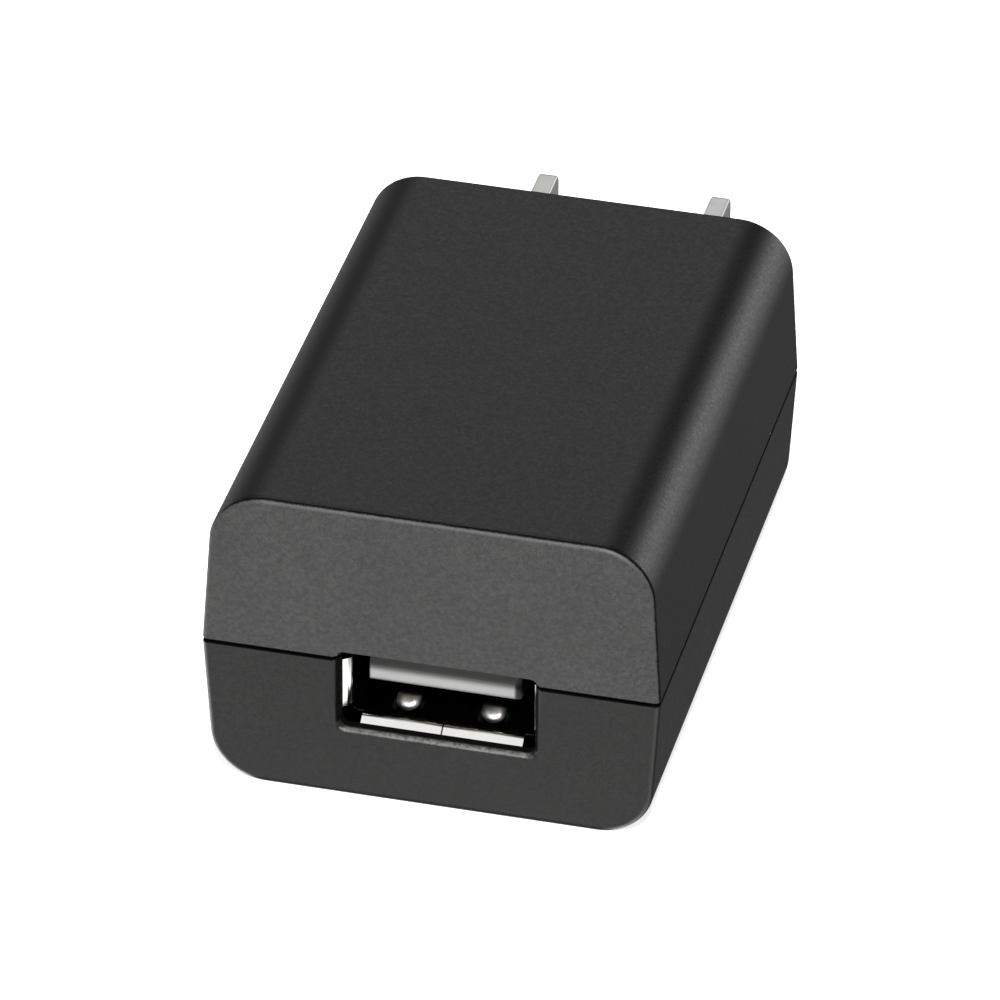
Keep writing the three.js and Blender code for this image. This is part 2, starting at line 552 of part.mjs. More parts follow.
// ---------------------------------------------------------------- parts under the board
const under = BOARD_Z0 - 0.04;
function packageBody(name, x, y, lx, ly, h, pins, look) {
  let body = planCut([[x - lx / 2, y - ly / 2], [x + lx / 2, y - ly / 2], [x + lx / 2, y + ly / 2], [x - lx / 2, y + ly / 2]], under - h, under - 0.12);
  for (const [px, s] of pins) {
    const y0 = y + s * (ly / 2 - 0.2), y1 = y + s * (ly / 2 + 0.95);
    body = body.add(block(x + px - 0.25, x + px + 0.25, Math.min(y0, y1), Math.max(y0, y1), under - 0.3, under));
  }
  part(name, body, look);
}
packageBody('controller_chip', 2.6, 22.4, 4.9, 3.9, 1.5, [[-1.9, -1], [-0.63, -1], [0.63, -1], [1.9, -1], [-1.9, 1], [-0.63, 1], [1.9, 1]], EPOXY);
packageBody('bridge_rectifier', -5.2, 23.0, 5.0, 4.2, 1.4, [[-2.0, -1], [2.0, -1], [-2.0, 1], [2.0, 1]], EPOXY);
packageBody('output_diode', -9.3, 12.2, 2.7, 4.2, 1.9, [[0, -1], [0, 1]], EPOXY);
function chip(name, x, y, lx, ly, h, look) {
  part(name, block(x - lx / 2, x + lx / 2, y - ly / 2, y + ly / 2, under - h, under), look);
}
chip('snubber_resistor', 8.3, 24.4, 3.2, 1.6, 0.6, CHIP);
chip('snubber_capacitor', 8.3, 27.2, 3.2, 1.6, 0.9, CHIPCAP);
chip('start_resistor', 8.3, 21.4, 3.2, 1.6, 0.6, CHIP);
chip('sense_resistor', -1.3, 22.4, 1.25, 2.0, 0.5, CHIP);
chip('feedback_resistor_high', -1.6, 29.9, 1.25, 2.0, 0.5, CHIP);
chip('feedback_resistor_low', 0.6, 29.9, 1.25, 2.0, 0.5, CHIP);
chip('output_filter_capacitor', 3.6, 10.2, 2.0, 1.25, 0.8, CHIPCAP);
chip('preload_resistor', 3.6, 7.8, 2.0, 1.25, 0.5, CHIP);

// the board itself, drilled for every lead
{
  let body = planCut(rounded(-BOARD_X, BOARD_X, BOARD_Y0, BOARD_Y1, 1.2, 4), BOARD_Z0, BOARD_Z1);
  for (const [x, y, r] of holes) body = body.subtract(post(x, y, BOARD_Z0 - 1, BOARD_Z1 + 1, r, 8));
  for (const cx of CONTACT_X) body = body.subtract(block(sx + cx - 0.65, sx + cx + 0.65, 13.55, 14.15, 3, 6));
  for (const s of [-1, 1]) {
    const x0 = s > 0 ? sx + ix : sx - ix - SHELL_T;
    body = body.subtract(block(x0 - 0.2, x0 + SHELL_T + 0.2, 8.4, 10.8, 3, 6));
    body = body.subtract(block(s * BLADE_PITCH / 2 - 1.4, s * BLADE_PITCH / 2 + 1.4, 35.75, 36.35, 3, 6));
  }
  // creepage slot between the mains side and the output side
  body = body.subtract(planCut(rounded(-7.6, 7.6, 17.6, 18.6, 0.45, 3), 3, 6));
  part('main_board', body, BOARD);
}

// ---------------------------------------------------------------- assembly
const assembly = new THREE.Group();
assembly.position.set(0, -TOTAL / 2, 0);
for (const { name, body, look } of parts) {
  const mesh = new THREE.Mesh(geometryOf(body), new THREE.MeshStandardMaterial(look));
  mesh.name = name;
  assembly.add(mesh);
}
const charger = new THREE.Group();
charger.add(assembly);

export default charger;
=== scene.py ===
import bpy
import bmesh
import json
import math
from mathutils import Matrix, Vector


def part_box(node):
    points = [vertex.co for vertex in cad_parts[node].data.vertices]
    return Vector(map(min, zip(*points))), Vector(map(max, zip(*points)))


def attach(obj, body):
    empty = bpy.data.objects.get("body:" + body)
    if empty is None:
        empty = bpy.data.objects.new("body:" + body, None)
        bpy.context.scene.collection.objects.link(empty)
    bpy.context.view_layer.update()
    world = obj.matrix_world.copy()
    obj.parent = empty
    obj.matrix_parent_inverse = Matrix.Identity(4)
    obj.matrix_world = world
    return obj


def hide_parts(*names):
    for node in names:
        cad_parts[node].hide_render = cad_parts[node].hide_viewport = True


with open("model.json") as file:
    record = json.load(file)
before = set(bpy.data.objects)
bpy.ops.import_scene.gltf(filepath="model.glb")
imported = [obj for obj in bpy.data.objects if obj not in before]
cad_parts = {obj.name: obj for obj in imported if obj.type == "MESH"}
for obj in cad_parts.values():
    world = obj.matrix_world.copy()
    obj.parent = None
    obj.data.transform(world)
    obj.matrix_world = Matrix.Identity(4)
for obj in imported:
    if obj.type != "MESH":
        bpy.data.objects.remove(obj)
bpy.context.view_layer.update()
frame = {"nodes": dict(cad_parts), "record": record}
NODES = frame["nodes"]
MM = 0.001

# ------------------------------------------------------------------ the frame's own positions
LOW_LO, LOW_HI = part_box("lower_shell")
UP_LO, UP_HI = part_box("upper_shell")
Y0 = LOW_LO[1]                                   # the front face at the parting line
WIDTH = (LOW_HI[0] - LOW_LO[0]) / MM
LENGTH = (LOW_HI[1] - LOW_LO[1]) / MM
HEIGHT = UP_HI[2] / MM
SEAM_GAP = 0.22
PARTING = UP_LO[2] / MM - SEAM_GAP / 2
BL_LO, BL_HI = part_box("live_blade")
TOTAL = (BL_HI[1] - Y0) / MM
SH_LO, SH_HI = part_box("usb_shell")
PORT_X = (SH_LO[0] + SH_HI[0]) / 2 / MM

DRAFT_SIDE_UP, DRAFT_SIDE_DOWN = 0.77, 0.65
DRAFT_FRONT_UP, DRAFT_FRONT_DOWN = 0.15, 0.25
CORNER_UP, CORNER_DOWN = 3.94, 3.88
EDGE = 0.42
WALL, WALL_FRONT, WALL_REAR = 1.75, 1.35, 1.8
LIP, LIP_HEIGHT = 0.9, 1.15
OPEN_X = PORT_X - 0.05
PORT_W, PORT_LOW, PORT_HIGH, PORT_R = 13.44, 5.42, 11.70, 0.6
PORT_WALL = 1.15
BLADE_PITCH, BLADE_THICK, BLADE_WIDE, BLADE_Z = 12.7, 1.4, 6.35, 10.9
SHELL_IN_W, SHELL_IN_H, SHELL_T, SHELL_Z = 12.5, 5.12, 0.3, 8.34
SHELL_Y0, SHELL_Y1, FLARE_Y = 2.15, 13.6, 1.22
FLARE_TALL, FLARE_WIDE = 3.8, 11.17
TONGUE_W, TONGUE_Z0, TONGUE_Z1, TONGUE_Y = 10.4, 8.22, 10.10, 2.15
CONTACT_X, CONTACT_W = (-3.5, -1.0, 1.0, 3.5), 1.0
FINGER_X, FINGER_W = 2.94, 1.65
BOARD_Z0 = 3.9
IZ0, IZ1 = SHELL_Z - SHELL_IN_H / 2, SHELL_Z + SHELL_IN_H / 2
IX = SHELL_IN_W / 2


def P(x, y, z):
    """millimetres, front face at y = 0, to the frame's metres"""
    return Vector((x * MM, y * MM + Y0, z * MM))


# ------------------------------------------------------------------ mesh helpers
def make(name, verts, faces):
    me = bpy.data.meshes.new(name)
    me.from_pydata([tuple(v) for v in verts], [], faces)
    me.validate()
    bm = bmesh.new()
    bm.from_mesh(me)
    bmesh.ops.recalc_face_normals(bm, faces=bm.faces)
    if bm.calc_volume(signed=True) < 0:
        bmesh.ops.reverse_faces(bm, faces=bm.faces)
    bm.to_mesh(me)
    bm.free()
    ob = bpy.data.objects.new(name, me)
    bpy.context.scene.collection.objects.link(ob)
    return ob


def loft(name, rings):
    """a closed body through rings of equal length, each a list of points in millimetres"""
    n = len(rings[0])
    verts = [P(*p) for r in rings for p in r]
    faces = []
    for k in range(len(rings) - 1):
        for i in range(n):
            j = (i + 1) % n
            faces.append((k * n + i, k * n + j, (k + 1) * n + j, (k + 1) * n + i))
    faces.append(tuple(range(n)))
    faces.append(tuple((len(rings) - 1) * n + i for i in reversed(range(n))))
    return make(name, verts, faces)


def box(name, x0, x1, y0, y1, z0, z1):
    return loft(name, [[(x0, y0, z0), (x1, y0, z0), (x1, y0, z1), (x0, y0, z1)],
                       [(x0, y1, z0), (x1, y1, z0), (x1, y1, z1), (x0, y1, z1)]])


def rounded(x0, x1, z0, z1, r, n=6):
    out = []
    for cx, cz, a0 in ((x1 - r, z0 + r, -90), (x1 - r, z1 - r, 0), (x0 + r, z1 - r, 90), (x0 + r, z0 + r, 180)):
        for i in range(n + 1):
            a = math.radians(a0 + 90 * i / n)
            out.append((cx + r * math.cos(a), cz + r * math.sin(a)))
    return out


def bake(ob):
    """applies the modifiers"""
    dg = bpy.context.evaluated_depsgraph_get()
    me = bpy.data.meshes.new_from_object(ob.evaluated_get(dg), preserve_all_data_layers=True, depsgraph=dg)
    old = ob.data
    ob.modifiers.clear()
    ob.data = me
    me.name = ob.name
    bpy.data.meshes.remove(old)
    return ob


def cut(ob, *tools, op="DIFFERENCE"):
    for t in tools:
        m = ob.modifiers.new("b", "BOOLEAN")
        m.operation = op
        m.object = t
        m.solver = "MANIFOLD"
        before = len(ob.data.polygons)
        bake(ob)
        if len(ob.data.polygons) == 0:
            raise RuntimeError("boolean emptied " + ob.name + " with " + t.name)
        me = t.data
        bpy.data.objects.remove(t)
        bpy.data.meshes.remove(me)
    return ob


def join(ob, *tools):
    return cut(ob, *tools, op="UNION")


def tidy(ob, angle=0.35):
    """puts flat faces back together after cutting"""
    bm = bmesh.new()
    bm.from_mesh(ob.data)
    bmesh.ops.remove_doubles(bm, verts=bm.verts, dist=2e-7)
    bmesh.ops.dissolve_degenerate(bm, edges=bm.edges, dist=1e-7)
    bmesh.ops.dissolve_limit(bm, angle_limit=math.radians(angle), verts=bm.verts, edges=bm.edges, delimit={"NORMAL"})
    bm.to_mesh(ob.data)
    bm.free()
    return ob


def bevel(ob, width, segments=2, angle=30):
    m = ob.modifiers.new("bevel", "BEVEL")
    m.width = width * MM
    m.segments = segments
    m.limit_method = "ANGLE"
    m.angle_limit = math.radians(angle)
    m.harden_normals = False
    m.use_clamp_overlap = True
    return bake(ob)


def smooth(ob, angle=35, weighted=True):
    me = ob.data
    me.polygons.foreach_set("use_smooth", [True] * len(me.polygons))
    me.set_sharp_from_angle(angle=math.radians(angle))
    if weighted:
        m = ob.modifiers.new("wn", "WEIGHTED_NORMAL")
        m.mode = "FACE_AREA"
        m.weight = 50
        m.keep_sharp = True
        bake(ob)
    ob.data.update()
    return ob


def strip(name, line, t, x0, x1, width=None, n_across=1):
    """a strip of sheet, even in thickness, along a line of (y, z); width(i, s) gives half its width at a point"""
    pts = [Vector(p) for p in line]
    top, bot = [], []
    for i, p in enumerate(pts):
        a, b = pts[max(i - 1, 0)], pts[min(i + 1, len(pts) - 1)]
        d = (b - a).normalized()
        nrm = Vector((-d.y, d.x))
        top.append(p + nrm * t / 2)
        bot.append(p - nrm * t / 2)
    rings = []
    cx = (x0 + x1) / 2
    for i in range(len(pts)):
        h = (x1 - x0) / 2 if width is None else width[i]
        rings.append([(cx - h, top[i].x, top[i].y), (cx + h, top[i].x, top[i].y), (cx + h, bot[i].x, bot[i].y), (cx - h, bot[i].x, bot[i].y)])
    return loft(name, rings)


def curve_through(points, n):
    """a smooth line through points (Catmull-Rom), n steps to a span"""
    out = []
    for i in range(len(points) - 1):
        p0 = Vector(points[max(i - 1, 0)])
        p1 = Vector(points[i])
        p2 = Vector(points[i + 1])
        p3 = Vector(points[min(i + 2, len(points) - 1)])
        for k in range(n):
            t = k / n
            out.append(tuple(0.5 * ((2 * p1) + (p2 - p0) * t + (2 * p0 - 5 * p1 + 4 * p2 - p3) * t * t + (3 * p1 - p0 - 3 * p2 + p3) * t ** 3)))
    out.append(tuple(points[-1]))
    return out


# ------------------------------------------------------------------ material helpers
class Mat:
    def __init__(self, name):
        self.m = bpy.data.materials.new(name)
        self.m.use_nodes = True
        self.nt = self.m.node_tree
        self.nt.nodes.clear()
        self.out = self.nt.nodes.new("ShaderNodeOutputMaterial")
        self.b = self.nt.nodes.new("ShaderNodeBsdfPrincipled")
        self.nt.links.new(self.b.outputs[0], self.out.inputs[0])
        self.co = self.nt.nodes.new("ShaderNodeTexCoord").outputs["Object"]

    def set(self, **kw):
        for k, v in kw.items():
            self.b.inputs[k.replace("_", " ")].default_value = v
        return self

    def link(self, a, b):
        self.nt.links.new(a, b)

    def node(self, kind, **props):
        n = self.nt.nodes.new(kind)
        for k, v in props.items():
            setattr(n, k, v)
        return n

    def scaled(self, sx, sy, sz, at=(0, 0, 0)):
        n = self.node("ShaderNodeMapping")
        n.inputs["Scale"].default_value = (sx, sy, sz)
        n.inputs["Location"].default_value = at
        self.link(self.co, n.inputs["Vector"])
        return n.outputs[0]

    def noise(self, scale, detail=2.0, rough=0.5, vec=None, distortion=0.0):
        n = self.node("ShaderNodeTexNoise")
        n.inputs["Scale"].default_value = scale
        n.inputs["Detail"].default_value = detail
        n.inputs["Roughness"].default_value = rough
        n.inputs["Distortion"].default_value = distortion
        self.link(vec or self.co, n.inputs["Vector"])
        return n.outputs["Fac"]

    def voronoi(self, scale, feature="F1", vec=None, metric="EUCLIDEAN"):
        n = self.node("ShaderNodeTexVoronoi", feature=feature)
        if feature != "DISTANCE_TO_EDGE":
            n.distance = metric
        n.inputs["Scale"].default_value = scale
        self.link(vec or self.co, n.inputs["Vector"])
        return n.outputs["Distance"]

    def ramp(self, fac, stops):
        n = self.node("ShaderNodeValToRGB")
        cr = n.color_ramp
        while len(cr.elements) < len(stops):
            cr.elements.new(0.5)
        for e, (p, c) in zip(cr.elements, stops):
            e.position = p
            e.color = (c, c, c, 1) if isinstance(c, (int, float)) else (*c, 1)
        self.link(fac, n.inputs[0])
        return n.outputs[0]

    def range(self, fac, a, b, lo, hi):
        n = self.node("ShaderNodeMapRange")
        n.clamp = True
        for k, v in (("From Min", a), ("From Max", b), ("To Min", lo), ("To Max", hi)):
            n.inputs[k].default_value = v
        self.link(fac, n.inputs["Value"])
        return n.outputs["Result"]

    def math(self, op, a, b=None, clamp=False):
        n = self.node("ShaderNodeMath", operation=op)
        n.use_clamp = clamp
        for i, v in enumerate((a, b)):
            if v is None:
                continue
            if isinstance(v, (int, float)):
                n.inputs[i].default_value = v
            else:
                self.link(v, n.inputs[i])
        return n.outputs[0]

    def mix(self, fac, a, b):
        n = self.node("ShaderNodeMix", data_type="RGBA")
        for i, v in ((0, fac), (6, a), (7, b)):
            if isinstance(v, (int, float)):
                n.inputs[i].default_value = v
            elif isinstance(v, tuple):
                n.inputs[i].default_value = (*v, 1) if len(v) == 3 else v
            else:
                self.link(v, n.inputs[i])
        return n.outputs[2]

    def mixf(self, fac, a, b):
        n = self.node("ShaderNodeMix", data_type="FLOAT")
        for i, v in ((0, fac), (2, a), (3, b)):
            if isinstance(v, (int, float)):
                n.inputs[i].default_value = v
            else:
                self.link(v, n.inputs[i])
        return n.outputs[0]

    def bump(self, height, mm, strength=1.0, after=None):
        n = self.node("ShaderNodeBump")
        n.inputs["Strength"].default_value = strength
        n.inputs["Distance"].default_value = mm * MM
        self.link(height, n.inputs["Height"])
        if after is not None:
            self.link(after, n.inputs["Normal"])
        return n.outputs[0]

    def xyz(self):
        n = self.node("ShaderNodeSeparateXYZ")
        self.link(self.co, n.inputs[0])
        return n.outputs[0], n.outputs[1], n.outputs[2]

    def color(self, v):
        self.link(v, self.b.inputs["Base Color"])
        return self

    def rough(self, v):
        self.link(v, self.b.inputs["Roughness"])
        return self

    def normal(self, v):
        self.link(v, self.b.inputs["Normal"])
        return self


def housing(name, base, rough, depth, face=None, port=None):
    """spark-eroded moulded plastic: fine pits and a slight mottle; face is (colour, roughness, depth) of a coarser
    front, and port the same of the round along the foot of the port, whose lighter colour is a painted highlight;
    painted shade darkens a line behind the front edge, the port's recess, the joint and the foot of the case"""
    m = Mat(name)
    fine = m.noise(7600, 2.0, 0.6)
    mid = m.noise(3400, 2.0, 0.55)
    broad = m.noise(160, 2.0, 0.5)
    relief = m.math("ADD", m.math("MULTIPLY", fine, 0.6), m.math("MULTIPLY", mid, 0.4))
    tone, gloss, height = base, rough, depth
    shade = m.range(relief, 0.40, 0.60, 0.86, 1.14)
    cloud = m.range(broad, 0.3, 0.7, 0.94, 1.06)
    colour = m.mix(0.0, base, base)
    r = m.range(relief, 0.38, 0.62, rough - 0.07, rough + 0.07)
    h = m.math("MULTIPLY", relief, depth / 0.02)
    if face:
        x, y, z = m.xyz()                               # y from the drafted front face
        y = m.math("SUBTRACT", y, m.math("MULTIPLY", m.math("SUBTRACT", z, PARTING * MM), DRAFT_FRONT_UP / (HEIGHT - PARTING)))
        y = m.math("ADD", y, m.math("MULTIPLY", m.math("SUBTRACT", mid, 0.5), 0.00022))
        mask = m.range(y, Y0 + 0.00013, Y0 + 0.00022, 1, 0)
        # painted shade: a dark line on the rounding behind the front's top and side edges, the colour cut to 0.12 of
        # the base
        line = m.math("MULTIPLY", m.range(y, Y0 + 0.00013, Y0 + 0.00022, 0, 1), m.range(y, Y0 + 0.00058, Y0 + 0.00075, 1, 0))
        speck = m.range(m.noise(3100, 3.0, 0.6), 0.36, 0.64, 0.82, 1.18)
        grey = m.node("ShaderNodeVectorMath", operation="SCALE")
        grey.inputs[0].default_value = face[0]
        m.link(speck, grey.inputs["Scale"])
        colour = m.mix(mask, m.mix(line, base, tuple(c * 0.12 for c in base)), grey.outputs[0])
        r = m.mixf(mask, r, m.range(relief, 0.35, 0.65, face[1] - 0.05, face[1] + 0.05))
        h = m.math("MULTIPLY", relief, m.mixf(mask, depth / 0.02, face[2] / 0.02))
    if port:
        x, y, z = m.xyz()
        y = m.math("SUBTRACT", y, m.math("MULTIPLY", m.math("SUBTRACT", PARTING * MM, z), DRAFT_FRONT_DOWN / PARTING))
        off = m.math("ABSOLUTE", m.math("SUBTRACT", x, OPEN_X * MM))
        inwards = m.range(y, Y0 + 0.00001, Y0 + 0.00004, 0, 1)
        # painted highlight: the round along the foot of the port gets a lighter colour so that its highlight shows
        # brighter; its coarser grain, roughness and relief are the real finish
        foot_grain_and_highlight = m.math("MULTIPLY", inwards, m.range(z, (PORT_LOW + 0.02) * MM, (PORT_LOW + 0.06) * MM, 1, 0))
        foot_grain_and_highlight = m.math("MULTIPLY", foot_grain_and_highlight, m.range(z, (PORT_LOW - 0.62) * MM, (PORT_LOW - 0.56) * MM, 0, 1))
        foot_grain_and_highlight = m.math("MULTIPLY", foot_grain_and_highlight, m.range(off, (PORT_W / 2 - 0.10) * MM, (PORT_W / 2 + 0.12) * MM, 1, 0))
        foot_grain_and_highlight = m.math("MULTIPLY", foot_grain_and_highlight, m.range(y, Y0 + 0.00030, Y0 + 0.00044, 1, 0))
        grit = m.noise(2600, 3.0, 0.65)
        # painted highlight colour on the foot's round, speckled by the real grain
        colour = m.mix(foot_grain_and_highlight, colour, m.mix(m.range(grit, 0.38, 0.62, 0, 1), tuple(c * 0.45 for c in port[0]), tuple(c * 1.6 for c in port[0])))
        r = m.mixf(foot_grain_and_highlight, r, m.range(grit, 0.35, 0.65, port[1] - 0.14, port[1] + 0.14))
        h = m.mixf(foot_grain_and_highlight, h, m.math("MULTIPLY", grit, port[2] / 0.02))
        # painted shade: its sides and floor are darkened and made rough, where shade falls in the recess
        sides = m.math("MULTIPLY", m.range(off, (PORT_W / 2 - 0.10) * MM, (PORT_W / 2 - 0.04) * MM, 0, 1), m.range(z, (PORT_LOW + 0.3) * MM, (PORT_LOW + 0.6) * MM, 0, 1))
        floor_ = m.range(y, Y0 + 0.00040, Y0 + 0.00050, 0, 1)
        port_shade = m.math("MULTIPLY", m.math("MAXIMUM", sides, floor_), inwards)
        port_shade = m.math("MULTIPLY", port_shade, m.range(off, (PORT_W / 2 + 0.18) * MM, (PORT_W / 2 + 0.34) * MM, 1, 0))
        port_shade = m.math("MULTIPLY", port_shade, m.range(y, Y0 + 0.0020, Y0 + 0.0022, 1, 0))
        port_shade = m.math("MULTIPLY", port_shade, m.range(z, (PORT_LOW - 0.6) * MM, (PORT_LOW - 0.5) * MM, 0, 1))
        colour = m.mix(port_shade, colour, tuple(c * 0.2 for c in base))
        r = m.mixf(port_shade, r, 0.75)
    # painted shade: the joint, the port's walls and the foot of the case are darkened, with next to no gloss
    painted_shade_mask = m.range(m.math("ABSOLUTE", m.math("SUBTRACT", m.xyz()[2], PARTING * MM)), 0.15 * MM, 0.20 * MM, 1, 0)
    if port:
        sole_shade = m.math("MULTIPLY", m.range(m.xyz()[2], 0.015 * MM, 0.03 * MM, 0, 1), m.range(m.xyz()[2], 0.30 * MM, 0.5 * MM, 1, 0))
        painted_shade_mask = m.math("MAXIMUM", painted_shade_mask, m.math("MAXIMUM", port_shade, sole_shade))
    # painted shade: a near-black colour in these places
    colour = m.mix(painted_shade_mask, colour, (0.0075, 0.0075, 0.0074))
    # painted shade: Metallic over the near-black colour takes the reflection off these places too
    m.link(painted_shade_mask, m.b.inputs["Metallic"])
    r = m.mixf(painted_shade_mask, r, 0.7)
    vary = m.node("ShaderNodeVectorMath", operation="SCALE")
    m.link(colour, vary.inputs[0])
    m.link(m.math("MULTIPLY", shade, cloud), vary.inputs["Scale"])
    m.color(vary.outputs[0])
    m.rough(r)
    m.normal(m.bump(h, 0.02))
    return m.m


def sheet_metal(name, color, rough, along="y", depth=0.0012, inside=None, metal=1.0):
    """plated sheet with faint drawing lines; inside is (y from, y to, share) of painted shade further in, the colour
    darkened to that share, in mm
    """
    m = Mat(name)
    sc = {"x": (40, 1500, 1500), "y": (1500, 40, 1500), "z": (1500, 1500, 40)}[along]
    lines = m.noise(1.0, 3.0, 0.6, m.scaled(*sc))
    cloud = m.noise(700, 2.0, 0.5)
    m.set(Metallic=metal)
    tone = m.mix(m.range(cloud, 0.3, 0.7, 0, 1), tuple(c * 0.9 for c in color), color)
    # painted shade: the colour darkens further into the receptacle
    if inside:
        a, b, share = inside
        tone = m.mix(m.range(m.xyz()[1], Y0 + a * MM, Y0 + b * MM, 0, 1), tone, tuple(c * share for c in color))
    m.color(tone)
    m.rough(m.math("ADD", m.range(lines, 0.3, 0.7, rough * 0.8, rough * 1.15), m.range(cloud, 0.35, 0.65, -0.02, 0.03)))
    m.normal(m.bump(lines, depth))
    return m.m


MATERIALS = {}
HOUSING_UP = housing("housing_upper", (0.0048, 0.0048, 0.0047), 0.34, 0.009, ((0.0430, 0.0430, 0.0422), 0.56, 0.014))
HOUSING_LOW = housing("housing_lower", (0.0128, 0.0128, 0.0121), 0.36, 0.004, port=((0.070, 0.070, 0.068), 0.50, 0.05))
# painted shade: the receptacle's steel darkens from 1.95 to 2.35 mm in, the fingers from 4.2 to 4.7 mm
STEEL = sheet_metal("receptacle_steel", (0.70, 0.69, 0.67), 0.13, "y", 0.0004, (1.95, 2.35, 0.20))
FINGER_STEEL = sheet_metal("finger_steel", (0.66, 0.65, 0.63), 0.34, "y", 0.0004, (4.2, 4.7, 0.2))
NICKEL = sheet_metal("blade_nickel", (0.80, 0.80, 0.775), 0.38, "y", 0.002, metal=0.7)
GOLD = sheet_metal("contact_gold", (0.86, 0.62, 0.25), 0.22, "y")


def plastic(name, color, rough, grain=3000, depth=0.003, vary=0.08, inside=None, painted_shade_end=None, top=None):
    m = Mat(name)
    n = m.noise(grain, 2.0, 0.55)
    b = m.noise(220, 2.0, 0.5)
    tone = m.mix(m.range(b, 0.3, 0.7, 0, 1), tuple(c * (1 - vary) for c in color), tuple(min(1, c * (1 + vary)) for c in color))
    if inside:
        # painted shade: the colour darkens further in
        at, to, share = inside
        tone = m.mix(m.range(m.xyz()[1], Y0 + at * MM, Y0 + to * MM, 0, 1), tone, tuple(c * share for c in color))
    # painted shade: the colour darkens past the x given
    if painted_shade_end:
        tone = m.mix(m.range(m.xyz()[0], painted_shade_end * MM, (painted_shade_end + 0.22) * MM, 0, 1), tone, tuple(c * 0.14 for c in color))
    # painted shadow: the colour darkens towards the top, between the z values given
    if top:
        tone = m.mix(m.range(m.xyz()[2], top[0] * MM, top[1] * MM, 0, 1), tone, tuple(c * top[2] for c in color))
    m.color(tone)
    m.rough(m.range(n, 0.35, 0.65, rough - 0.05, rough + 0.05))
    m.normal(m.bump(n, depth))
    return m.m


# painted shade on the tongue: darker deeper in and at its right end, and a painted shadow along its top where the
# housing's edge shades it
TONGUE_MAT = plastic("tongue_plastic", (0.37, 0.37, 0.361), 0.45, 2500, 0.003, 0.04, (TONGUE_Y + 0.5, TONGUE_Y + 0.9, 0.12), PORT_X + 4.72, (9.3, 9.75, 0.5))


def wear(ob, material, slot, body, *nodes):
    ob.data.materials.clear()
    ob.data.materials.append(material)
    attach(ob, body)
    if nodes:
        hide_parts(*nodes)
    return ob


# ------------------------------------------------------------------ housing
def half_section(up, inset, edge, chamfer=0.0, n=22, hold=True):
    h = HEIGHT - PARTING if up else PARTING
    lean = math.atan2(DRAFT_SIDE_UP if up else DRAFT_SIDE_DOWN, h)
    r = (CORNER_UP if up else CORNER_DOWN) - inset
    d = h - inset - r
    cx = WIDTH / 2 - math.tan(lean) * d - inset / math.cos(lean) - r / math.cos(lean)
    xs = lambda z: WIDTH / 2 - math.tan(lean) * max(z, 0) - inset / math.cos(lean)
    right = []
    if chamfer > 0:
        for k in range(4):                          # a small round at the parting edge
            a = math.radians(90 * k / 3)
            z = edge + chamfer * (1 - math.cos(a))
            right.append((xs(z) - chamfer * (1 - math.sin(a)), z))
        right.append((xs(edge + chamfer + 0.1), edge + chamfer + 0.1))
    else:
        right.append((xs(edge), edge))
    if hold:
        right.append((xs(d - 0.15), d - 0.15))
    for i in range(n + 1):
        a = lean + (math.pi / 2 - lean) * i / n
        right.append((cx + r * math.cos(a), d + r * math.sin(a)))
    if hold:
        right.append((cx - 0.15, d + r))
    left = [(-x, z) for x, z in reversed(right)]
    return [(x, PARTING + z if up else PARTING - z) for x, z in right + left]


def front_at(z):
    return (z - PARTING) / (HEIGHT - PARTING) * DRAFT_FRONT_UP if z >= PARTING else (PARTING - z) / PARTING * DRAFT_FRONT_DOWN


def half_body(name, up, edge, chamfer):
    rings = []
    steps = 8
    rings.append([(x, front_at(z), z) for x, z in half_section(up, EDGE + 0.25, edge, chamfer)])
    for i in range(steps + 1):
        a = math.pi / 2 * i / steps
        e = EDGE * (1 - math.sin(a))
        rings.append([(x, front_at(z) + EDGE * (1 - math.cos(a)), z) for x, z in half_section(up, e, edge, chamfer)])
    rings.append([(x, front_at(z) + EDGE + 0.2, z) for x, z in half_section(up, 0, edge, chamfer)])
    rings.append([(x, LENGTH - EDGE - 0.2, z) for x, z in half_section(up, 0, edge, chamfer)])
    for i in range(steps, -1, -1):
        a = math.pi / 2 * i / steps
        e = EDGE * (1 - math.sin(a))
        rings.append([(x, LENGTH - EDGE * (1 - math.cos(a)), z) for x, z in half_section(up, e, edge, chamfer)])
    rings.append([(x, LENGTH, z) for x, z in half_section(up, EDGE + 0.25, edge, chamfer)])
    return loft(name, rings)


def hollow(up):
    sec = half_section(up, WALL, -4, 0, 12, False)
    return loft("hollow", [[(x, WALL_FRONT, z) for x, z in sec], [(x, LENGTH - WALL_REAR, z) for x, z in sec]])


def port_tool():
    """the port's cutter: its front edge is broken by a round at the bottom and sides, and left crisp on top"""
    x0, x1 = OPEN_X - PORT_W / 2, OPEN_X + PORT_W / 2
    c, top = 0.43, 0.04

    def ring(y, f):
        e, et = c * f, top * f
        return [(x, y, z) for x, z in rounded(x0 - e, x1 + e, PORT_LOW - e, PORT_HIGH + et, PORT_R + e * 0.5, 8)]
    y_front = front_at(PORT_LOW) * 0.8
    rings = [ring(-1.0, 1.1), ring(y_front - 0.02, 1.0)]
    for k in range(0, 8):
        a = math.radians(10 + 80 * k / 7)
        rings.append(ring(y_front + c * (1 - math.cos(a)), 1 - math.sin(a) if k < 7 else 0))
    rings.append(ring(3.4, 0))
    return loft("port", rings)


def pocket_tool():
    """behind the opening the front wall is thinner, to clear the flared lips"""
    x0, x1 = OPEN_X - PORT_W / 2, OPEN_X + PORT_W / 2
    return box("pocket", x0 - 0.8, x1 + 0.8, PORT_WALL, 1.6, PORT_LOW - 0.75, PORT_HIGH + 0.5)


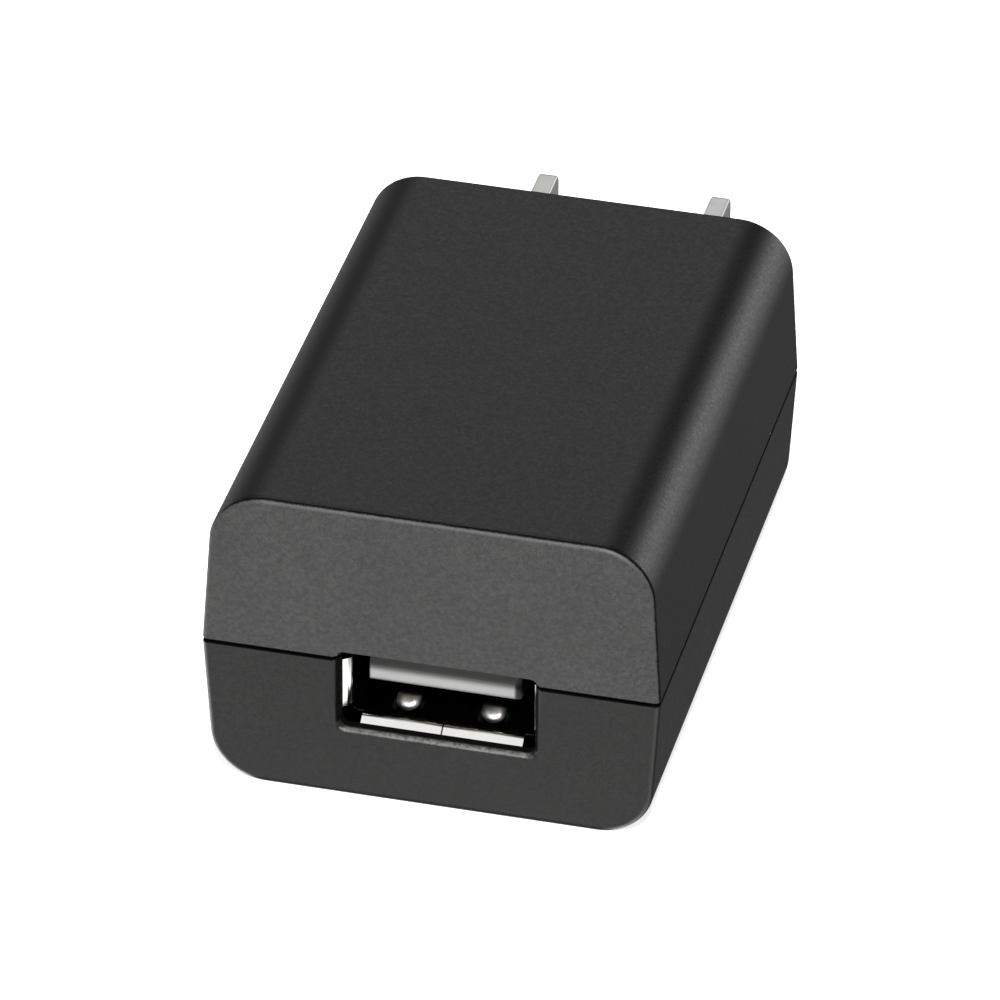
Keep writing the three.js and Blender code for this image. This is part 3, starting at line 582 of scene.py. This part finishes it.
def blade_slot_tools():
    g = 0.06
    out = []
    for s in (-1, 1):
        x = s * BLADE_PITCH / 2
        out.append(box("slot", x - BLADE_THICK / 2 - g, x + BLADE_THICK / 2 + g, 39, LENGTH + 1, BLADE_Z - BLADE_WIDE / 2 - g, BLADE_Z + BLADE_WIDE / 2 + g))
    return out


def lip_ring(name, a, b, z0, z1):
    o = box(name, -WIDTH / 2 + a, WIDTH / 2 - a, a, LENGTH - a, z0, z1)
    return o


def shells():
    px0, px1 = OPEN_X - PORT_W / 2, OPEN_X + PORT_W / 2
    low = half_body("lower_case", False, SEAM_GAP / 2, 0.10)
    join(low, lip_ring("lip", LIP, 0, PARTING - 0.6, PARTING + LIP_HEIGHT))
    cut(low, hollow(False))
    for x0, x1 in ((-13.8, -11.9), (11.9, 13.8)):
        for y0, y1 in ((5.2, 7.4), (33.4, 35.6)):
            join(low, box("ledge", x0, x1, y0, y1, WALL - 0.3, BOARD_Z0 - 0.03))
    for x in (-8.6, 0, 8.6):
        join(low, box("rib", x - 0.6, x + 0.6, 37.6, LENGTH - WALL_REAR + 0.2, WALL - 0.3, 7.15))
    cut(low, port_tool(), pocket_tool(), box("gap", px0 - 0.6, px1 + 0.6, LIP - 0.1, 3, PARTING - SEAM_GAP / 2, PARTING + 3), *blade_slot_tools())
    tidy(low)
    smooth(low)
    wear(low, HOUSING_LOW, "housing", "housing", "lower_shell")

    up = half_body("upper_case", True, SEAM_GAP / 2, 0.10)
    cut(up, hollow(True))
    r = LIP - 0.1
    reb = lip_ring("rebate", r, 0, PARTING - 1, PARTING + LIP_HEIGHT + 0.1)
    cut(reb, box("keep", px0 - 0.5, px1 + 0.5, -1, 2.5, 0, 20))
    cut(up, reb)
    for x in (-8.6, 0, 8.6):
        join(up, box("rib", x - 0.6, x + 0.6, 37.6, LENGTH - WALL_REAR + 0.2, 14.85, HEIGHT - WALL + 0.3))
    cut(up, port_tool(), pocket_tool(), *blade_slot_tools())
    tidy(up)
    smooth(up)
    wear(up, HOUSING_UP, "housing", "housing", "upper_shell")


# ------------------------------------------------------------------ USB receptacle
def receptacle():
    sx = PORT_X
    sec = lambda x0, x1, z0, z1, r, y, n=8: [(x, y, z) for x, z in rounded(x0, x1, z0, z1, r, n)]
    tube = loft("usb_shell_formed", [sec(sx - IX - SHELL_T, sx + IX + SHELL_T, IZ0 - SHELL_T, IZ1 + SHELL_T, 0.55, y) for y in (SHELL_Y0, SHELL_Y0 + 0.4, SHELL_Y1)])
    cut(tube, loft("inside", [sec(sx - IX, sx + IX, IZ0, IZ1, 0.25, y) for y in (SHELL_Y0 - 1, SHELL_Y1 + 1)]))
    # windows round the retention fingers, with rounded front corners
    for s in (-1, 1):
        for z0, z1 in ((IZ0 - 1, IZ0 + 0.2), (IZ1 - 0.2, IZ1 + 1)):
            x = sx + s * FINGER_X
            w = FINGER_W / 2 + 0.28
            out = rounded(x - w, x + w, 2.75, 10.2, 0.75, 8)
            cut(tube, loft("window", [[(a, b, z0) for a, b in out], [(a, b, z1) for a, b in out]]))
    # the butt seam along the middle of the floor
    cut(tube, box("seam", sx - 0.03, sx + 0.03, 0, SHELL_Y1 + 1, IZ0 - 0.16, IZ0 + 0.2))
    for s in (-1, 1):
        x0 = sx + IX if s > 0 else sx - IX - SHELL_T
        join(tube, box("leg", x0, x0 + SHELL_T, 8.6, 10.6, 3.1, IZ0 + 1))

    # flared lips: the sheet rolls outwards to the mouth
    def lip(points, t0):
        """the closed outline of a lip, from its inner line of (y, out)"""
        inner = curve_through(points, 5)
        outer = []
        for i, p in enumerate(inner):
            a, b = Vector(inner[max(i - 1, 0)]), Vector(inner[min(i + 1, len(inner) - 1)])
            dd = (b - a).normalized() if i else Vector((-1, 0))
            outer.append((p[0] + dd.y * t0, p[1] - dd.x * t0))
        root = SHELL_Y0 + 0.35
        return [(root, 0.0)] + inner, [(root, t0)] + outer
    side_line = [(2.15, 0.0), (1.85, 0.0), (1.72, 0.03), (1.62, 0.115), (1.27, 0.60)]
    floor_line = [(2.05, 0.0), (1.86, 0.01), (1.75, 0.055), (1.49, 0.255), (1.23, 0.46)]
    T = SHELL_T
    inner, outer = lip(side_line, T)
    prof = inner + list(reversed(outer))
    for s in (-1, 1):
        pts = [(sx + s * (IX + o), y) for y, o in prof]
        z0, z1 = SHELL_Z - FLARE_TALL / 2, SHELL_Z + FLARE_TALL / 2
        join(tube, loft("lip", [[(x, y, z) for x, y in pts] for z in (z0, z1)]))
    inner, outer = lip(floor_line, T)
    prof = inner + list(reversed(outer))
    for s, w in ((-1, IZ0), (1, IZ1)):
        for a, b in ((-FLARE_WIDE / 2, -0.05), (0.05, FLARE_WIDE / 2)):
            join(tube, loft("lip", [[(sx + x, y, w + s * o) for y, o in prof] for x in (a, b)]))
    tidy(tube, 0.2)
    bevel(tube, 0.03, 2, 60)
    smooth(tube, 30)
    wear(tube, STEEL, "receptacle_steel", "housing", "usb_shell")

    # tongue: a round along its lower front edge, a chamfer along the upper one
    R = 0.5
    prof = [(11.6, TONGUE_Z1), (TONGUE_Y + 0.42, TONGUE_Z1), (TONGUE_Y, TONGUE_Z1 - 0.5)]
    for k in range(9):
        a = math.radians(90 * k / 8)
        prof.append((TONGUE_Y + R * (1 - math.cos(a)), TONGUE_Z0 + R * (1 - math.sin(a))))
    prof.append((11.6, TONGUE_Z0))
    body = loft("tongue_moulded", [[(x, y, z) for y, z in prof] for x in (sx - TONGUE_W / 2, sx + TONGUE_W / 2)])
    for s, cx, cy in ((1, 0.34, 0.5), (-1, 0.12, 0.12)):
        e = sx + s * TONGUE_W / 2
        cut(body, loft("corner", [[(e - s * cx, TONGUE_Y - 0.001, z), (e - s * cx - s * 0.5 * cx / cy, TONGUE_Y - 0.5, z), (e + s * 1, TONGUE_Y - 0.5, z), (e + s * 1, TONGUE_Y + cy + cy / cx, z), (e, TONGUE_Y + cy, z)] for z in (7, 11)]))
    join(body, loft("rear", [sec(sx - IX + 0.05, sx + IX - 0.05, IZ0 + 0.05, IZ1 - 0.05, 0.3, y, 4) for y in (11.0, SHELL_Y1)]))
    bevel(body, 0.06, 2, 32)
    for cx in CONTACT_X:
        x = sx + cx
        cut(body, box("groove", x - 0.65, x + 0.65, 2.9, 11.35, 7.6, SHELL_Z + 1.44),
            box("passage", x - CONTACT_W / 2 - 0.04, x + CONTACT_W / 2 + 0.04, 11, 15, SHELL_Z + 0.42, SHELL_Z + 0.77))
    tidy(body)
    smooth(body, 35)
    wear(body, TONGUE_MAT, "tongue_plastic", "housing", "usb_tongue")

    # sprung contacts and their tails
    for i, n in enumerate(("vbus", "dminus", "dplus", "gnd")):
        x = sx + CONTACT_X[i]
        line = curve_through([(11.15, 0.59), (9.6, 0.54), (6.2, 0.14), (5.1, -0.14), (4.6, -0.22), (4.15, -0.12), (3.75, 0.22), (3.35, 0.67)], 5)
        beam = strip("contact_beam_" + n, [(y, SHELL_Z + z) for y, z in line], 0.24, x - CONTACT_W / 2, x + CONTACT_W / 2)
        bevel(beam, 0.04, 2, 50)
        smooth(beam, 40)
        wear(beam, GOLD, "contact_gold", "contact_" + n, "usb_contact_" + n)
        tail = loft("contact_tail_" + n, [[(xx, y, z) for y, z in ((11.45, SHELL_Z + 0.47), (11.45, SHELL_Z + 0.71), (13.90, SHELL_Z + 0.71), (13.975, SHELL_Z + 0.64), (13.975, 3.35), (13.86, 3.2), (13.80, 3.2), (13.735, 3.35), (13.735, SHELL_Z + 0.47))] for xx in (x - CONTACT_W / 2 + 0.005, x + CONTACT_W / 2 - 0.005)])
        bevel(tail, 0.03, 2, 50)
        smooth(tail, 40)
        wear(tail, GOLD, "contact_gold", "housing", "usb_tail_" + n)

    # retention fingers: a U-shaped free end, dished down towards its rim
    base = [(9.9, -0.15), (9.0, -0.12), (6.8, 0.12), (5.2, 0.27), (4.5, 0.30), (4.1, 0.24), (3.75, 0.08), (3.5, -0.12), (3.32, -0.36)]
    fine = curve_through(base, 24)
    dist = [0.0]
    for a, b in zip(reversed(fine[:-1]), reversed(fine[1:])):
        dist.append(dist[-1] + math.dist(a, b))
    back = list(reversed(fine))
    wanted = [0.004, 0.012, 0.03, 0.055, 0.085, 0.12, 0.16, 0.2, 0.25, 0.3, 0.36, 0.42, 0.48, 0.55, 0.62, 0.7, 0.78, 0.86, 0.95, 1.05, 1.15, 1.3, 1.5, 1.8, 2.3, 3.0, 4.0, 5.2, 6.2, dist[-1]]
    line = []
    for w in wanted:
        k = max(i for i, v in enumerate(dist) if v <= w + 1e-9)
        if k + 1 < len(dist):
            f = (w - dist[k]) / (dist[k + 1] - dist[k])
            line.append(tuple(back[k][j] * (1 - f) + back[k + 1][j] * f for j in (0, 1)))
        else:
            line.append(back[k])
    r, t, drop, reach, n = FINGER_W / 2, 0.27, 0.20, 0.42, 16

    def finger(name, x, flip):
        top, bot = [], []
        for i, (w, p) in enumerate(zip(wanted, line)):
            a, b = Vector(line[max(i - 1, 0)]), Vector(line[min(i + 1, len(line) - 1)])
            dd = (b - a).normalized()                  # towards the root
            nrm = Vector((-dd.y, dd.x))
            half = r if w >= r else math.sqrt(r * r - (r - w) ** 2)
            u, l = [], []
            for k in range(n + 1):
                q = math.sin(math.pi / 2 * (2 * k / n - 1))
                xx = q * half
                to_rim = r - (math.hypot(r - w, xx) if w < r else abs(xx))
                fade = min(max((2.2 - w) / 1.2, 0.25), 1)
                sink = drop * fade * max(0.0, 1 - to_rim / reach) ** 2
                c = Vector(p) - nrm * sink
                for out, h in ((u, t / 2), (l, -t / 2)):
                    y, z = c + nrm * h
                    out.append((x + xx, y, (IZ0 + z) if not flip else (2 * SHELL_Z - IZ0 - z)))
            top.append(u)
            bot.append(l)
        return loft(name, [u + list(reversed(l)) for u, l in zip(top, bot)])
    for side, s in (("left", -1), ("right", 1)):
        for level in ("lower", "upper"):
            f = finger("finger_%s_%s" % (level, side), sx + s * FINGER_X, level == "upper")
            bevel(f, 0.04, 2, 50)
            smooth(f, 50)
            wear(f, FINGER_STEEL, "receptacle_steel", "finger_%s_%s" % (level, side), "usb_finger_%s_%s" % (level, side))


# ------------------------------------------------------------------ blades
def blades():
    for name, s in (("live_blade", 1), ("neutral_blade", -1)):
        x = s * BLADE_PITCH / 2
        z0, z1 = BLADE_Z - BLADE_WIDE / 2, BLADE_Z + BLADE_WIDE / 2
        R = 0.7
        def outline(e):
            out = [(36.5, z0 + 1.2 + e), (37.2, z0 + 1.2 + e), (37.2, z0 + e)]
            y1 = TOTAL - e
            for k in range(9):
                a = math.radians(-90 + 90 * k / 8)
                out.append((y1 - R + R * math.cos(a), z0 + e + R + R * math.sin(a)))
            for k in range(9):
                a = math.radians(90 * k / 8)
                out.append((y1 - R + R * math.cos(a), z1 - e - R + R * math.sin(a)))
            out += [(37.2, z1 - e), (37.2, z1 - 1.2 - e), (36.5, z1 - 1.2 - e)]
            return out
        t = BLADE_THICK / 2
        E = 0.16
        rings = []
        for k in range(5):
            a = math.radians(90 * k / 4)
            rings.append((x - t + E * (1 - math.cos(a)), E * (1 - math.sin(a))))
        rings += [(2 * x - a, b) for a, b in reversed(rings)]
        ob = loft(name + "_plated", [[(xx, y, z) for y, z in outline(e)] for xx, e in rings])
        for side in (-1, 1):
            a, b = x + side * (t - 0.06), x + side * 2
            cut(ob, box("neck", min(a, b), max(a, b), 30, LENGTH + 0.12, 0, 20))
        tidy(ob, 0.2)
        smooth(ob, 40)
        wear(ob, NICKEL, "blade_nickel", "housing", name)


shells()
receptacle()
blades()

# ------------------------------------------------------------------ inner pieces
SLOT_OF = {s["node"]: s["material_slot"] for s in frame["record"]["subparts"]}
INNER = {
    "spring_brass": lambda: sheet_metal("spring_brass", (0.72, 0.50, 0.22), 0.3, "z"),
    "black_nylon": lambda: plastic("black_nylon", (0.02, 0.02, 0.022), 0.5),
    "ferrite": lambda: plastic("ferrite", (0.045, 0.045, 0.05), 0.6, 2200, 0.01, 0.15),
    # painted shade: the board's colour is darkened near to black, standing in for the shade inside the case
    "board": lambda: plastic("board", (0.003, 0.006, 0.004), 0.35),
    "copper_wire": lambda: plastic("copper_wire", (0.42, 0.14, 0.05), 0.35),
    "insulated_wire": lambda: plastic("insulated_wire", (0.62, 0.42, 0.16), 0.4),
    "yellow_tape": lambda: plastic("yellow_tape", (0.68, 0.50, 0.03), 0.3),
    "sleeve_dark": lambda: plastic("sleeve_dark", (0.015, 0.016, 0.03), 0.3),
    "sleeve_green": lambda: plastic("sleeve_green", (0.01, 0.07, 0.045), 0.3),
    "blue_coating": lambda: plastic("blue_coating", (0.02, 0.10, 0.40), 0.3),
    "resistor_coating": lambda: plastic("resistor_coating", (0.25, 0.42, 0.36), 0.45),
    "black_sleeve": lambda: plastic("black_sleeve", (0.02, 0.02, 0.022), 0.45),
    "epoxy": lambda: plastic("epoxy", (0.012, 0.012, 0.013), 0.5),
    "chip_black": lambda: plastic("chip_black", (0.01, 0.01, 0.011), 0.35),
    "chip_tan": lambda: plastic("chip_tan", (0.42, 0.27, 0.13), 0.45),
}
made = {}
for node, ob in NODES.items():
    slot = SLOT_OF[node]
    if slot in INNER:
        if slot not in made:
            made[slot] = INNER[slot]()
        ob.data.materials.clear()
        ob.data.materials.append(made[slot])

# ------------------------------------------------------------------ camera
AZ, EL, ROLL = math.radians(13.716), math.radians(33.277), math.radians(0.42)
TX, TY, TZ = 0.509, 0.235, 585.661
d = Vector((-math.sin(AZ) * math.cos(EL), math.cos(AZ) * math.cos(EL), -math.sin(EL)))
right = d.cross(Vector((0, 0, 1))).normalized()
up = right.cross(d)
r2 = math.cos(ROLL) * right + math.sin(ROLL) * up
u2 = -math.sin(ROLL) * right + math.cos(ROLL) * up
centre = Vector((0, LENGTH / 2, HEIGHT / 2))
pos = centre - (r2 * TX + u2 * TY + d * TZ)
cam_data = bpy.data.cameras.new("camera")
cam_data.sensor_width = 36
cam_data.lens = 8557.468 * 36 / 1000
cam_data.clip_start = 0.01
cam_data.clip_end = 20
cam = bpy.data.objects.new("camera", cam_data)
bpy.context.scene.collection.objects.link(cam)
m = Matrix(((r2.x, u2.x, -d.x), (r2.y, u2.y, -d.y), (r2.z, u2.z, -d.z))).to_4x4()
m.translation = P(*pos)
cam.matrix_world = m
bpy.context.scene.camera = cam

# ------------------------------------------------------------------ stage and light
floor = make("floor", [(-3, -3, 0), (3, -3, 0), (3, 3, 0), (-3, 3, 0)], [(0, 1, 2, 3)])
for v in floor.data.vertices:
    v.co.z = -0.00002
fm = Mat("floor_pale")
fm.set(Roughness=0.9)
fm.b.inputs["Specular IOR Level"].default_value = 0.0
fm.color(fm.mix(fm.range(fm.noise(3, 2), 0.3, 0.7, 0, 1), (0.90, 0.90, 0.90), (0.92, 0.92, 0.92)))
fm.b.inputs["Emission Color"].default_value = (1, 1, 1, 1)
fm.b.inputs["Emission Strength"].default_value = 0.78
floor.data.materials.append(fm.m)
floor.visible_glossy = False
floor.visible_diffuse = False

# the studio round the object: soft panels and the pale table seen as broad patches of light, each at an
# azimuth (0 in front, growing to the right) and an elevation, with its sharpness and its strength
AMBIENT = 0.04
LOBES = [
    (0.0, -75.0, 9.0, 3.0),       # the white table under and beside the object
    (240.0, -75.0, 9.0, 2.13),
    (270.0, -40.0, 9.0, 2.6),
    (260.0, -30.0, 40.0, 1.07),
    (234.0, -12.0, 9.0, 0.33),
    (45.0, -40.0, 9.0, 0.31),
    (315.0, -40.0, 9.0, 0.14),
    (57.0, -33.0, 20.0, 1.35),
    (350.0, 20.0, 20.0, 1.4),     # the room in front
    (193.7, 33.0, 40.0, 0.78),    # a reflector behind
    (145.0, 10.0, 40.0, 2.35),    # a narrow panel behind on the right
    (145.0, -8.0, 40.0, 0.70),
    (155.0, -22.0, 40.0, 0.09),
    (334.0, 63.0, 40.0, 1.3),     # a small panel overhead in front
]
KEYS = [(14.0, 47.5, 1.56)]


def towards(az, el):
    a, e = math.radians(az), math.radians(el)
    return Vector((math.sin(a) * math.cos(e), -math.cos(a) * math.cos(e), math.sin(e)))


world = bpy.data.worlds.new("studio")
bpy.context.scene.world = world
world.use_nodes = True
wt = world.node_tree
wt.nodes.clear()


def wnode(kind, inputs=(), **props):
    n = wt.nodes.new(kind)
    for k, v in props.items():
        setattr(n, k, v)
    for i, v in inputs:
        if isinstance(v, bpy.types.NodeSocket):
            wt.links.new(v, n.inputs[i])
        else:
            n.inputs[i].default_value = v
    return n


direction = wnode("ShaderNodeTexCoord").outputs["Generated"]
total = None
for az, el, sharp, strength in LOBES:
    dot = wnode("ShaderNodeVectorMath", ((0, direction), (1, towards(az, el))), operation="DOT_PRODUCT").outputs["Value"]
    power = wnode("ShaderNodeMath", ((0, dot), (1, sharp), (2, -sharp)), operation="MULTIPLY_ADD").outputs[0]
    lobe = wnode("ShaderNodeMath", ((0, power),), operation="EXPONENT").outputs[0]
    lobe = wnode("ShaderNodeMath", ((0, lobe), (1, strength), (2, total if total is not None else AMBIENT)), operation="MULTIPLY_ADD").outputs[0]
    total = lobe
lit = wnode("ShaderNodeBackground", ((0, (1, 1, 1, 1)), (1, total)))
plain = wnode("ShaderNodeBackground", ((0, (1, 1, 1, 1)), (1, 1.0)))
seen = wnode("ShaderNodeLightPath").outputs["Is Camera Ray"]
both = wnode("ShaderNodeMixShader", ((0, seen), (1, lit.outputs[0]), (2, plain.outputs[0])))
wnode("ShaderNodeOutputWorld", ((0, both.outputs[0]),))


def softbox(name, az, el, dist, size, flux, target=(0, 21, 9)):
    """flux is the light that falls square on the object, in units that turn a white card white"""
    t = P(*target)
    L = bpy.data.lights.new(name, "AREA")
    L.shape = "SQUARE"
    L.size = size
    L.energy = flux * math.pi ** 2 * dist ** 2
    o = bpy.data.objects.new(name, L)
    bpy.context.scene.collection.objects.link(o)
    o.location = t + towards(az, el) * dist
    o.rotation_euler = (t - o.location).to_track_quat("-Z", "Y").to_euler()
    o.visible_camera = False
    return o


for i, (az, el, flux) in enumerate(KEYS):
    softbox("key_%d" % i, az, el, 0.9, 0.07, flux)

sc = bpy.context.scene
sc.view_settings.view_transform = "Standard"
sc.view_settings.look = "None"
sc.view_settings.exposure = 0
sc.view_settings.gamma = 1
